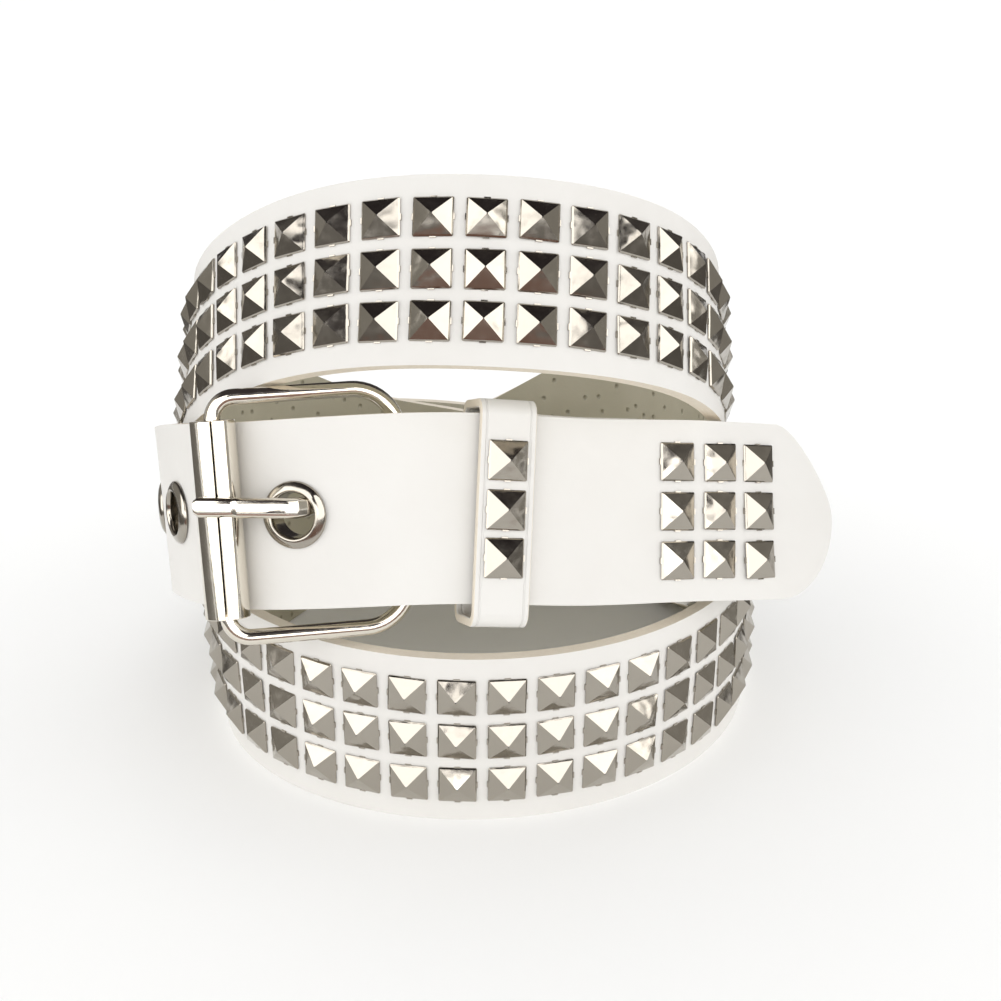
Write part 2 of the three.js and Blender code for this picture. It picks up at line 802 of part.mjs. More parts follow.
const cutters = () => [...eyeletLengths.map(eyeletHole), prongSlot()];
add('studded_strap', cut(strapGeometry(), cutters()), whiteLeather);
add('lining', cut(liningGeometry(), cutters()), greyLining);
for (let column = 0; column < tipStudColumns; column++) {
  const frame = frameAtLength(tipStudStart + column * tipStudPitch);
  rowHeights.forEach((up, row) => {
    const stud = looseStud(frame, up, strapTotal / 2 + seatGap);
    add(`tip_stud_${column + 1}_${row + 1}`, stud, nickel);
  });
}
eyeletLengths.forEach((length, i) => add(`eyelet_${i + 1}`, eyeletGeometry(length), nickel));
add('keeper', keeperGeometry(), whiteLeather);
for (let i = 0; i < studRows; i++) {
  const up = ((studRows - 1) / 2 - i) * keeperStudPitch;
  const stud = looseStud(keeperFrame, up, keeperFront + keeperThickness + pieceGap);
  add(`keeper_stud_${i + 1}`, stud, nickel);
}
add('buckle_frame', frameGeometry(), nickel);
add('roller', rollerGeometry(), nickel);
add('prong', prongGeometry(), nickel);

// The origin is on the ground, under the middle of the belt's box.
const box = new THREE.Box3().setFromObject(belt);
const middle = box.getCenter(new THREE.Vector3());
belt.position.set(-middle.x, -middle.y, -box.min.z);

export default belt;
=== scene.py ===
# A white studded belt, fastened and coiled, in the looks of its real leather and metal.
# Sizes are in millimetres and become metres in the meshes. +Z is up, -Y is the buckle's side.
import math
import random

import bpy
import numpy as np
from mathutils import Matrix, Vector


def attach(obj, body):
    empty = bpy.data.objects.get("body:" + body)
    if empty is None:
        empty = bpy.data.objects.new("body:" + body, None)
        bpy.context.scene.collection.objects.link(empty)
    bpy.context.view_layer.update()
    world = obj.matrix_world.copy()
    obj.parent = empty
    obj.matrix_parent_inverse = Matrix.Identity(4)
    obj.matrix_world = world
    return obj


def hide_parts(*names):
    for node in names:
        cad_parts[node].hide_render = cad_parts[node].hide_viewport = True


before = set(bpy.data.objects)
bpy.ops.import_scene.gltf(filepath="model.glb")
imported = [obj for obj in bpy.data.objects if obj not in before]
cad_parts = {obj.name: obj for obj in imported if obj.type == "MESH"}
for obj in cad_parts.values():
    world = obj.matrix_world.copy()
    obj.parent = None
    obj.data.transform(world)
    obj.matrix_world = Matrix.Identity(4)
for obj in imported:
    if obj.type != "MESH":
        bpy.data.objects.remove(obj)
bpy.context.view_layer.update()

# The strap: one strip of white coated leather, cut with a round tip and coiled in three turns.
# It was stamped flat, so its cut edge shows the cream core under the white skin.
# The buckle end goes round the hinge bar and is held behind itself.
strap_width = 38
strap_thickness = 1.5
lining_thickness = 1
piece_gap = 0.3
seat_gap = 0.45
strap_edge_round = 0.3
strap_total = strap_thickness + piece_gap + lining_thickness
tip_length = 17
tip_fullness = 1.6
tip_roundness = 0.65
coil_radius = 52
coil_axis = (-1.11, 2.983)
stud_height = 2.6
coil_gap = 0.6
tuck_gap = 0.8
turn_thickness = strap_total + stud_height + coil_gap
wire_diameter = 3.3
frame_reach = 36.7
frame_width = 48.4
frame_corner = 9
roller_turn = 38.4
roller_diameter = 9
fold_radius = wire_diameter / 2 + piece_gap + strap_total / 2
fold_closed = strap_total + piece_gap
fold_half_width = (frame_width - 2 * frame_corner) / 2
fold_return = 42
fold_closing = 14
fold_taper = 16

# turn in degrees, turns lying inside it, distance and height as shares, lean in degrees
route_rows = [
    (-70.5, 0, 1.6, 1.38, 27),
    (-45, 0, 1.3, 1.585, 20),
    (-20, 0, 1.19, 1.69, 21),
    (5, 0, 1.26, 1.79, 18.5),
    (30, 0, 1.43, 1.745, 14.5),
    (42, 0, 1.47, 1.655, 10.5),
    (60, 1, 1.33, 1.475, 3),
    (90, 2, 1.188, 1.115, -3),
    (135, 2, 1.12, 0.85, -4),
    (180, 2, 1.02, 0.7, -4),
    (225, 2, 1, 0.53, -4),
    (270, 2, 0.995, 0.495, 0),
    (315, 1, 1.19, 0.495, 0),
    (360, 0, 1.37, 0.495, 0),
    (405, 0, 1.33, 0.495, 0),
    (450, 0, 1.19, 0.495, -7),
    (495, 0, 1.055, 0.545, -3),
    (540, 0, 1, 0.77, -3),
    (585, 0, 0.978, 1.4, -3),
    (630, 0, 1.035, 1.97, -2),
    (675, 0, 1.115, 2.71, 22),
    (720, 0, 1.08, 2.99, 30),
    (765, 0, 1.16, 2.768, 26.5),
    (810, 1, 1.165, 1.935, 6),
    (855, 1, 1.08, 1.05, -2),
    (900, 1, 1.005, 0.69, -4),
    (945, 1, 0.985, 0.56, -4),
    (990, 1, 0.985, 0.95, -4),
    (1012, 1, 1.065, 1.17, -3),
]
# the buckle end behind the tip: the tip's turn, gap, drop, share of the tip's lean
tucked_rows = [
    (-45, 4.2, 2.6, 0.7),
    (-20, tuck_gap, 0.8, 1),
    (5, tuck_gap, 0.8, 1),
    (30, tuck_gap, 0.8, 1),
]
full_turns = 3
turn_step = 0.5
section_step = 2.5
tip_steps = 14
fold_steps = 16
across_steps = 12


def natural_spline(xs, ys):
    """A smooth curve through the points, as a function of x."""
    xs = np.array(xs, float)
    ys = np.array(ys, float)
    spans = np.diff(xs)
    slopes = np.diff(ys) / spans
    rows = np.eye(len(xs))
    changes = np.zeros(len(xs))
    for i in range(1, len(xs) - 1):
        rows[i, i - 1 : i + 2] = spans[i - 1], 2 * (spans[i - 1] + spans[i]), spans[i]
        changes[i] = 6 * (slopes[i] - slopes[i - 1])
    bends = np.linalg.solve(rows, changes)

    def at(x):
        i = np.clip(np.searchsorted(xs, x) - 1, 0, len(xs) - 2)
        a = (xs[i + 1] - x) / spans[i]
        b = 1 - a
        cubic = (a**3 - a) * bends[i] + (b**3 - b) * bends[i + 1]
        return a * ys[i] + b * ys[i + 1] + cubic * spans[i] ** 2 / 6

    return at


def unit(vectors):
    """The same directions with a length of one."""
    return vectors / np.linalg.norm(vectors, axis=-1, keepdims=True)


def turned_about(vectors, axes, angles):
    """Each vector turned about its own axis."""
    angles = np.reshape(angles, (-1, 1))
    along = (vectors * axes).sum(-1, keepdims=True) * axes
    return (
        along + (vectors - along) * np.cos(angles) + np.cross(axes, vectors) * np.sin(angles)
    )


def walk_route():
    """Rows of turn, length, place, along, across and out for the whole coil."""
    knots = [
        (turn, coil_radius * share + inside * turn_thickness, strap_width * height, lean)
        for turn, inside, share, height, lean in route_rows
    ]
    knot_at = {knot[0]: knot for knot in knots}
    for turn, gap, drop, lean_share in tucked_rows:
        _, radius, height, lean = knot_at[turn]
        behind = radius - strap_total - gap
        knots.append((turn + 360 * full_turns, behind, height - drop, lean * lean_share))
    turns_at, radii, heights, leans = zip(*knots)
    radius_at = natural_spline(turns_at, radii)
    height_at = natural_spline(turns_at, heights)
    lean_at = natural_spline(turns_at, leans)

    def place_at(turn):
        angle = np.radians(turn)
        away = radius_at(turn)
        x = coil_axis[0] - away * np.sin(angle)
        y = coil_axis[1] - away * np.cos(angle)
        return np.stack([x, y, height_at(turn)], -1)

    turns = np.arange(turns_at[0], turns_at[-1] + turn_step / 2, turn_step)
    place = place_at(turns)
    along = unit(place_at(turns + turn_step / 2) - place_at(turns - turn_step / 2))
    upright = unit(np.array([0, 0, 1]) - along * along[:, 2:])
    across = turned_about(upright, along, np.radians(lean_at(turns)))
    out = np.cross(across, along)
    edge_drop = across[:, 2] * strap_width / 2 + np.abs(out[:, 2]) * strap_total / 2
    place[:, 2] += np.maximum(edge_drop - place[:, 2], 0)
    steps = np.linalg.norm(np.diff(place, axis=0), axis=1)
    lengths = np.concatenate([[0], np.cumsum(steps)])
    return turns, lengths, place, along, across, out


route_turns, route_lengths, *route_frames = walk_route()


def frames_at(lengths):
    """Place, along, across and out of the strap's middle at these lengths from the tip."""
    lengths = np.atleast_1d(lengths)
    place, along, _, out = (
        np.stack([np.interp(lengths, route_lengths, way[:, k]) for k in range(3)], -1)
        for way in route_frames
    )
    along = unit(along)
    out = unit(out - along * (out * along).sum(-1, keepdims=True))
    return place, along, np.cross(along, out), out


def length_at(turn):
    """The length along the strap, from the tip, at this turn."""
    return float(np.interp(turn, route_turns, route_lengths))


def frame_at(length):
    """Place, along, across and out at one length."""
    return tuple(way[0] for way in frames_at(length))


seat_place, _, seat_across, seat_out = frame_at(length_at(roller_turn))
roller_centre = seat_place + seat_out * (strap_total / 2 + seat_gap + roller_diameter / 2)


def find_hinge():
    """The length where the hinge bar lies one frame reach from the roller."""
    near = 360 * full_turns + roller_turn - 10
    far = 360 * full_turns - 30
    for _ in range(40):
        middle = (near + far) / 2
        place, _, _, out = frame_at(length_at(middle))
        if np.linalg.norm(place - out * fold_radius - roller_centre) < frame_reach:
            near = middle
        else:
            far = middle
    return length_at(near)


strap_length = find_hinge()
hinge_place, _, hinge_across, hinge_out = frame_at(strap_length)
hinge_centre = hinge_place - hinge_out * fold_radius
reach_way = unit(roller_centre - hinge_centre)
bar_sum = hinge_across + seat_across
bar_way = unit(bar_sum - reach_way * (bar_sum @ reach_way))
buckle_out = np.cross(bar_way, reach_way)
squared_out = unit(hinge_out - bar_way * (hinge_out @ bar_way))


def tip_half_width(lengths):
    """Half the strap's width near its round tip."""
    share = 1 - np.minimum(lengths / tip_length, 1)
    return strap_width / 2 * (1 - share**tip_fullness) ** tip_roundness


def eased(values, start, end):
    """A soft step from 0 at the start to 1 at the end."""
    share = np.clip((values - start) / (end - start), 0, 1)
    return share * share * (3 - 2 * share)


def folded_half_width(from_hinge):
    """Half the strap's width near the fold, where it passes between the frame's arms."""
    share = eased(from_hinge, fold_taper / 4, fold_taper)
    return fold_half_width + (strap_width / 2 - fold_half_width) * share


def strip_sections():
    """Length, place, across, out and half width of every section, tip to fold."""
    tip = tip_length * (np.arange(1, tip_steps) / tip_steps) ** 2
    plain_steps = int((strap_length - tip_length) / section_step)
    lengths = np.concatenate([tip, np.linspace(tip_length, strap_length, plain_steps)])
    place, _, across, out = frames_at(lengths)
    half = np.minimum(tip_half_width(lengths), folded_half_width(strap_length - lengths))
    place[-1], across[-1], out[-1] = hinge_place, bar_way, squared_out
    shares = np.arange(1, fold_steps + 1) / fold_steps
    bar = np.tile(bar_way, (fold_steps, 1))
    bend_out = turned_about(np.tile(squared_out, (fold_steps, 1)), bar, -np.pi * shares)
    bend_place = hinge_centre + bend_out * fold_radius
    back = fold_return * shares
    leaf_place, _, leaf_across, leaf_out = frames_at(strap_length - back)
    depth = 2 * fold_radius + (fold_closed - 2 * fold_radius) * eased(back, 0, fold_closing)
    leaf_place = leaf_place - leaf_out * depth[:, None]
    bend_length = strap_length + np.pi * fold_radius * shares
    leaf_length = bend_length[-1] + back
    return (
        np.concatenate([lengths, bend_length, leaf_length]),
        np.concatenate([place, bend_place, leaf_place]),
        np.concatenate([across, bar, leaf_across]),
        np.concatenate([out, bend_out, -leaf_out]),
        np.concatenate([half, np.full(fold_steps, fold_half_width), folded_half_width(back)]),
    )


def only(obj):
    """Selects this object alone and makes it the active one."""
    for other in bpy.context.selected_objects:
        other.select_set(False)
    bpy.context.view_layer.objects.active = obj
    obj.select_set(True)


def made(name):
    """The object that the last operator made, under its own name."""
    obj = bpy.context.active_object
    obj.name = obj.data.name = name
    return obj


def apply_modifier(obj, kind, **settings):
    """Adds a modifier with these settings and applies it."""
    only(obj)
    modifier = obj.modifiers.new(kind.lower(), kind)
    for key, value in settings.items():
        setattr(modifier, key, value)
    bpy.ops.object.modifier_apply(modifier=modifier.name)


def round_edges(obj, width, segments, sharper_than):
    """Bevels the edges that bend by more than this angle in degrees."""
    apply_modifier(
        obj, "BEVEL", width=width, segments=segments, limit_method="ANGLE",
        angle_limit=math.radians(sharper_than),
    )


def select_faces(obj, wanted):
    """Leaves the object in edit mode, with only the faces that pass the test selected."""
    bpy.ops.object.mode_set(mode="EDIT")
    bpy.ops.mesh.select_all(action="DESELECT")
    bpy.ops.object.mode_set(mode="OBJECT")
    for face in obj.data.polygons:
        face.select = wanted(face)
    bpy.ops.object.mode_set(mode="EDIT")


def smooth(obj, degrees):
    """Smooth shading up to this angle, with the large faces deciding over their small bevels."""
    only(obj)
    bpy.ops.object.shade_smooth_by_angle(angle=math.radians(degrees))
    apply_modifier(obj, "WEIGHTED_NORMAL", keep_sharp=True)


def laid_grid(name, spots, pattern=None):
    """A grid whose vertices lie at these rows of spots, with a pattern in millimetres as UVs."""
    rows, columns = spots.shape[:2]
    only(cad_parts["keeper"])
    bpy.ops.mesh.primitive_grid_add(x_subdivisions=rows - 1, y_subdivisions=columns - 1, size=2)
    obj = made(name)
    flat = np.empty(len(obj.data.vertices) * 3)
    obj.data.vertices.foreach_get("co", flat)
    share = (flat.reshape(-1, 3) + 1) / 2
    row = np.rint(share[:, 0] * (rows - 1)).astype(int)
    column = np.rint(share[:, 1] * (columns - 1)).astype(int)
    obj.data.vertices.foreach_set("co", (spots[row, column] / 1000).ravel())
    if pattern is not None:
        loops = np.empty(len(obj.data.loops), int)
        obj.data.loops.foreach_get("vertex_index", loops)
        marks = pattern[row, column][loops] / 1000
        obj.data.uv_layers.active.data.foreach_set("uv", marks.ravel())
    return obj


def closed_up(obj, end_sides=0):
    """Merges a grid's meeting edges, fills its small ends and turns its faces outwards."""
    only(obj)
    bpy.ops.object.mode_set(mode="EDIT")
    bpy.ops.mesh.select_all(action="SELECT")
    bpy.ops.mesh.remove_doubles(threshold=0.00001)
    if end_sides:
        bpy.ops.mesh.fill_holes(sides=end_sides)
    bpy.ops.mesh.select_all(action="SELECT")
    bpy.ops.mesh.normals_make_consistent(inside=False)
    bpy.ops.object.mode_set(mode="OBJECT")


def strip(name, level, thickness, materials):
    """A sheet laid along the coil, its outer face at this level, its edges in the second material."""
    lengths, place, across, out, half = strip_sections()
    ups = half[:, None] * np.linspace(1, -1, across_steps + 1)
    spots = (place + out * level)[:, None] + across[:, None] * ups[:, :, None]
    pattern = np.stack([np.broadcast_to(lengths[:, None], ups.shape), ups], -1)
    obj = laid_grid(name, spots, pattern)
    for material in materials:
        obj.data.materials.append(material)
    apply_modifier(obj, "SOLIDIFY", thickness=thickness / 1000, offset=-1, material_offset_rim=1)
    round_edges(obj, strap_edge_round / 1000, 2, 60)
    return obj


def placed(centre, x_way, y_way, z_way):
    """The matrix that puts a shape drawn in millimetres at a place with these axes."""
    turn = Matrix((x_way, y_way, z_way)).transposed().to_4x4()
    return Matrix.Translation(Vector(centre) / 1000) @ turn @ Matrix.Scale(0.001, 4)


def move_mesh(obj, matrix):
    """Moves the mesh itself, and keeps its faces outwards if the matrix mirrors it."""
    obj.data.transform(matrix)
    if matrix.determinant() < 0:
        obj.data.flip_normals()
    obj.data.update()


def merge(objects, name):
    """Joins the objects into the first one."""
    only(objects[0])
    for obj in objects:
        obj.select_set(True)
    bpy.ops.object.join()
    return made(name)


def copied(pattern):
    """A copy of the object with its own mesh."""
    copy = pattern.copy()
    copy.data = pattern.data.copy()
    bpy.context.scene.collection.objects.link(copy)
    return copy


eyelet_count = 5
first_eyelet_turn = 28.5
eyelet_pitch = 38.5
eyelet_bore = 8.9
punch_play = 0.54
prong_width = 4
prong_clearance = 0.35
prong_thickness = 2.6
slot_play = 0.85
slot_tail = 2.6
eyelet_lengths = [length_at(first_eyelet_turn) + i * eyelet_pitch for i in range(eyelet_count)]


def hole_cutter():
    """Punches for the eyelets' holes and for the prong's slot in the fold."""
    punches = []
    for length in eyelet_lengths:
        place, along, across, out = frame_at(length)
        bpy.ops.mesh.primitive_cylinder_add(
            vertices=48, radius=eyelet_bore / 2 + punch_play, depth=4 * strap_total
        )
        punch = bpy.context.active_object
        move_mesh(punch, placed(place, across, -along, out))
        punches.append(punch)
    behind = wire_diameter / 2 + prong_clearance + prong_thickness + 2 * slot_play + slot_tail
    beyond = fold_radius + strap_total / 2 + slot_play
    height = 2 * (fold_radius + strap_total / 2 + piece_gap)
    bpy.ops.mesh.primitive_cube_add(size=1)
    slot = bpy.context.active_object
    slot_along = np.cross(squared_out, bar_way)
    move_mesh(slot, Matrix.Diagonal((prong_width + 2 * slot_play, height, behind + beyond, 1)))
    slot_centre = hinge_centre - slot_along * (behind - beyond) / 2
    move_mesh(slot, placed(slot_centre, bar_way, squared_out, -slot_along))
    return merge([slot, *punches], "punches")


def punched(obj):
    """Cuts the holes through a sheet and smooths it."""
    cutter = hole_cutter()
    apply_modifier(obj, "BOOLEAN", operation="DIFFERENCE", object=cutter, solver="EXACT")
    bpy.data.objects.remove(cutter)
    smooth(obj, 40)


def colour(code):
    """A hex colour, as the eye sees it, in the renderer's linear values."""
    parts = [int(code[i : i + 2], 16) / 255 for i in (1, 3, 5)]
    linear = [p / 12.92 if p <= 0.04045 else ((p + 0.055) / 1.055) ** 2.4 for p in parts]
    return (*linear, 1)


def new_material(name, **sockets):
    """A material whose surface starts from these values of the shader's own sockets."""
    material = bpy.data.materials.new(name)
    material.use_nodes = True
    shader = material.node_tree.nodes["Principled BSDF"]
    for key, value in sockets.items():
        shader.inputs[key.replace("_", " ")].default_value = value
    return material, shader


def add_node(material, kind, inputs, **settings):
    """Adds one node, sets it, and links the inputs that are given as sockets."""
    tree = material.node_tree
    node = tree.nodes.new(kind)
    for key, value in settings.items():
        setattr(node, key, value)
    for key, value in inputs.items():
        if isinstance(value, bpy.types.NodeSocket):
            tree.links.new(value, node.inputs[key])
        else:
            node.inputs[key].default_value = value
    return node


def per_metre(size):
    """The scale of a pattern whose features are this many millimetres apart."""
    return 1000 / size


# Coated leather: a calendered film on a split, satin, with a shallow pressed grain.
# The grain's cells are about 0.5 mm; the tone drifts a little over 25 mm.
white_leather, skin = new_material(
    "coated_white_leather", Roughness=0.5, Specular_IOR_Level=0.25
)
position = add_node(white_leather, "ShaderNodeTexCoord", {}).outputs["Object"]
drift = add_node(
    white_leather, "ShaderNodeTexNoise",
    {"Vector": position, "Scale": per_metre(25), "Detail": 3, "Roughness": 0.6},
)
tone = add_node(
    white_leather, "ShaderNodeMix",
    {0: drift.outputs["Fac"], 6: colour("#DCDAD6"), 7: colour("#D4D1CC")},
    data_type="RGBA",
)
grain = add_node(
    white_leather, "ShaderNodeTexVoronoi",
    {"Vector": position, "Scale": per_metre(0.55)}, feature="DISTANCE_TO_EDGE",
)
ripple = add_node(
    white_leather, "ShaderNodeTexNoise",
    {"Vector": position, "Scale": per_metre(7), "Detail": 2},
)
pressed = add_node(
    white_leather, "ShaderNodeBump",
    {"Height": grain.outputs["Distance"], "Strength": 0.1, "Distance": 0.00012},
)
waved = add_node(
    white_leather, "ShaderNodeBump",
    {"Height": ripple.outputs["Fac"], "Strength": 0.16, "Distance": 0.0012,
     "Normal": pressed.outputs["Normal"]},
)
white_leather.node_tree.links.new(tone.outputs[2], skin.inputs["Base Color"])
white_leather.node_tree.links.new(waved.outputs["Normal"], skin.inputs["Normal"])

# The cut edge: compressed fibre, cream and matt.
cut_edge, core = new_material("cream_cut_edge", Roughness=0.7)
position = add_node(cut_edge, "ShaderNodeTexCoord", {}).outputs["Object"]
fibre = add_node(
    cut_edge, "ShaderNodeTexNoise",
    {"Vector": position, "Scale": per_metre(0.8), "Detail": 4, "Roughness": 0.7},
)
cream = add_node(
    cut_edge, "ShaderNodeMix",
    {0: fibre.outputs["Fac"], 6: colour("#E2DACC"), 7: colour("#D2C6B2")},
    data_type="RGBA",
)
cut_edge.node_tree.links.new(cream.outputs[2], core.inputs["Base Color"])

leather_inner = -strap_total / 2 + lining_thickness + piece_gap / 2
strap = strip(
    "strap_leather", strap_total / 2, strap_total / 2 - leather_inner, [white_leather, cut_edge]
)
punched(strap)
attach(strap, "belt")
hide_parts("studded_strap")

# The lining: a thin grey-beige coated sheet, glued behind the leather and cut with it.
# The studs' folded claws press through it as small pits, about three to a stud, with painted shade in
# each pit.
grey_lining, back_skin = new_material("grey_coated_lining", Roughness=0.62)
position = add_node(grey_lining, "ShaderNodeTexCoord", {}).outputs["Object"]
along_strap = add_node(grey_lining, "ShaderNodeTexCoord", {}).outputs["UV"]
blotch = add_node(
    grey_lining, "ShaderNodeTexNoise",
    {"Vector": position, "Scale": per_metre(12), "Detail": 4},
)
lining_tone = add_node(
    grey_lining, "ShaderNodeMix",
    {0: blotch.outputs["Fac"], 6: colour("#C8C2AF"), 7: colour("#B4AE99")},
    data_type="RGBA",
)
claws = add_node(
    grey_lining, "ShaderNodeTexVoronoi",
    {"Vector": along_strap, "Scale": per_metre(6.2), "Randomness": 0.6},
    voronoi_dimensions="2D",
)
pit = add_node(
    grey_lining, "ShaderNodeMapRange",
    {"Value": claws.outputs["Distance"], "From Min": 0.03, "From Max": 0.13},
    interpolation_type="SMOOTHSTEP",
)
# Painted shade: the colour darkens to #A39C87 towards the middle of each claw pit.
painted_pit_shade = add_node(
    grey_lining, "ShaderNodeMix",
    {0: pit.outputs["Result"], 6: colour("#A39C87"), 7: lining_tone.outputs[2]},
    data_type="RGBA",
)
nap = add_node(
    grey_lining, "ShaderNodeTexNoise",
    {"Vector": position, "Scale": per_metre(0.6), "Detail": 3},
)
napped = add_node(
    grey_lining, "ShaderNodeBump",
    {"Height": nap.outputs["Fac"], "Strength": 0.25, "Distance": 0.0002},
)
pitted = add_node(
    grey_lining, "ShaderNodeBump",
    {"Height": pit.outputs["Result"], "Strength": 0.7, "Distance": 0.0008,
     "Normal": napped.outputs["Normal"]},
)
grey_lining.node_tree.links.new(painted_pit_shade.outputs[2], back_skin.inputs["Base Color"])
grey_lining.node_tree.links.new(pitted.outputs["Normal"], back_skin.inputs["Normal"])

lining = strip(
    "strap_lining", leather_inner, leather_inner + strap_total / 2, [grey_lining, cut_edge]
)
punched(lining)
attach(lining, "belt")
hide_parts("lining")

# The studs: square caps pressed from thin steel sheet and nickel plated.
# Each has a low rim, four nearly flat facets, and the roots of its claws at mid side.
# They are set by hand, so no two sit quite alike.
stud_size = 8
stud_rim = 0.6
stud_row_pitch = 10.3
stud_column_pitch = 10.09
tip_stud_start = 24
tip_stud_pitch = 10.4
studs_after_eyelets = 21.4
studs_before_buckle = 112
claw_width = 1.3
claw_reach = 0.22
claw_height = 0.42
stud_corner = 0.22
# inwards from the rim: half side and height
stud_facets = [(3.88, 0.72), (1.7, 1.82), (0.14, 2.6)]
stud_tilt_spread = 0.9
stud_place_spread = 0.06
field_stud_sunk = 0.12
chance = random.Random(7)


def stud_shape(name):
    """One stud in millimetres, its peak up +Z, open at its foot and at its very tip."""
    only(strap)
    bpy.ops.mesh.primitive_cube_add(size=stud_size)
    obj = made(name)
    obj.data.transform(Matrix.Translation((0, 0, stud_size / 2)))
    obj.data.transform(Matrix.Diagonal((1, 1, stud_rim / stud_size, 1)))
    bpy.ops.object.mode_set(mode="EDIT")
    bpy.ops.mesh.select_all(action="DESELECT")
    bpy.ops.object.mode_set(mode="OBJECT")
    for edge in obj.data.edges:
        ends = [obj.data.vertices[v].co for v in edge.vertices]
        edge.select = abs(ends[0].z - ends[1].z) > stud_rim / 2
    bpy.ops.object.mode_set(mode="EDIT")
    bpy.ops.mesh.bevel(offset=stud_corner, segments=1)
    bpy.ops.object.mode_set(mode="OBJECT")
    select_faces(obj, lambda face: face.normal.z > 0.9)
    last_half, last_height = stud_size / 2, stud_rim
    for ring_half, height in stud_facets:
        bpy.ops.mesh.extrude_region_move(
            TRANSFORM_OT_translate={"value": (0, 0, height - last_height)}
        )
        share = ring_half / last_half
        bpy.ops.transform.resize(value=(share, share, 1), center_override=(0, 0, height))
        last_half, last_height = ring_half, height
    bpy.ops.object.mode_set(mode="OBJECT")
    just_below_tip = stud_facets[-1][1] - 0.1
    select_faces(obj, lambda face: face.normal.z < -0.9 or face.center.z > just_below_tip)
    bpy.ops.mesh.delete(type="ONLY_FACE")
    bpy.ops.object.mode_set(mode="OBJECT")
    claws = []
    for i in range(4):
        bpy.ops.mesh.primitive_cube_add(size=1, location=(0, 0, 0))
        claw = bpy.context.active_object
        claw.data.transform(Matrix.Diagonal((2 * claw_reach, claw_width, claw_height, 1)))
        claw.data.transform(Matrix.Translation((stud_size / 2, 0, claw_height / 2)))
        claw.data.transform(Matrix.Rotation(i * math.pi / 2, 4, "Z"))
        claws.append(claw)
    stud = merge([obj, *claws], name)
    smooth(stud, 24)
    return stud


pattern_stud = stud_shape("stud_pattern")


def set_stud(place, along, across, out, up, base):
    """A copy of the stud with its own mesh, pressed into a face a little askew."""
    stud = copied(pattern_stud)
    matrix = Matrix.Identity(4)
    for axis in "ZXY":
        matrix @= Matrix.Rotation(math.radians(chance.gauss(0, stud_tilt_spread)), 4, axis)
    centre = place + across * (up + chance.gauss(0, stud_place_spread)) + out * base
    move_mesh(stud, placed(centre, -along, across, out) @ matrix)
    return stud


# Nickel plate on pressed steel: a warm grey mirror, softened by tumbling.
# The press leaves shallow waves about 4 mm long, and handling leaves finer haze.
stud_nickel, plate = new_material(
    "tumbled_nickel_plate", Base_Color=colour("#A8A298"), Metallic=1, Roughness=0.13
)
position = add_node(stud_nickel, "ShaderNodeTexCoord", {}).outputs["Object"]
haze = add_node(
    stud_nickel, "ShaderNodeTexNoise",
    {"Vector": position, "Scale": per_metre(2.5), "Detail": 4, "Roughness": 0.65},
)
gloss = add_node(
    stud_nickel, "ShaderNodeMapRange",
    {"Value": haze.outputs["Fac"], "From Min": 0.3, "From Max": 0.75, "To Min": 0.07,
     "To Max": 0.24},
)
wave = add_node(
    stud_nickel, "ShaderNodeTexNoise",
    {"Vector": position, "Scale": per_metre(4), "Detail": 1},
)
dented = add_node(
    stud_nickel, "ShaderNodeBump",
    {"Height": wave.outputs["Fac"], "Strength": 0.3, "Distance": 0.0006},
)
stud_nickel.node_tree.links.new(gloss.outputs["Result"], plate.inputs["Roughness"])
stud_nickel.node_tree.links.new(dented.outputs["Normal"], plate.inputs["Normal"])
pattern_stud.data.materials.append(stud_nickel)

row_ups = [stud_row_pitch, 0, -stud_row_pitch]
stud_start = eyelet_lengths[-1] + studs_after_eyelets
stud_columns = 1 + int((strap_length - studs_before_buckle - stud_start) / stud_column_pitch)
field = []
for column in range(stud_columns):
    place, along, across, out = frame_at(stud_start + column * stud_column_pitch)
    for up in row_ups:
        base = strap_total / 2 - field_stud_sunk
        field.append(set_stud(place, along, across, out, up, base))
field_studs = merge(field, "field_studs")
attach(field_studs, "belt")
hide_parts("studded_strap")

tip_columns = 3
for column in range(tip_columns):
    place, along, across, out = frame_at(tip_stud_start + column * tip_stud_pitch)
    for row, up in enumerate(row_ups):
        stud = set_stud(place, along, across, out, up, strap_total / 2)
        stud.name = f"tip_cap_{column + 1}_{row + 1}"
        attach(stud, "belt")
        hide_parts(f"tip_stud_{column + 1}_{row + 1}")

# The eyelets: brass rings, rolled over both faces of the strap and nickel plated.
# The front is domed, and its bore rolls inwards to a thin barrel.
eyelet_flange = 13.6
eyelet_dome = 1.3
eyelet_lift = 0.15
eyelet_sides = 64


def turned_ring(name, profile, sides):
    """A ring turned from its profile of radius and height, closed on itself."""
    only(strap)
    radius, height = profile[0]
    bpy.ops.mesh.primitive_circle_add(vertices=sides, radius=radius, location=(0, 0, 0))
    obj = made(name)
    obj.data.transform(Matrix.Translation((0, 0, height)))
    bpy.ops.object.mode_set(mode="EDIT")
    bpy.ops.mesh.select_all(action="SELECT")
    for next_radius, next_height in [*profile[1:], profile[0]]:
        bpy.ops.mesh.extrude_edges_move(
            TRANSFORM_OT_translate={"value": (0, 0, next_height - height)}
        )
        share = next_radius / radius
        bpy.ops.transform.resize(value=(share, share, 1), center_override=(0, 0, next_height))
        radius, height = next_radius, next_height
    bpy.ops.mesh.select_all(action="SELECT")
    bpy.ops.mesh.remove_doubles(threshold=0.0001)
    bpy.ops.mesh.normals_make_consistent(inside=False)
    bpy.ops.object.mode_set(mode="OBJECT")
    return obj


bore = eyelet_bore / 2
flange = eyelet_flange / 2
face = strap_total / 2
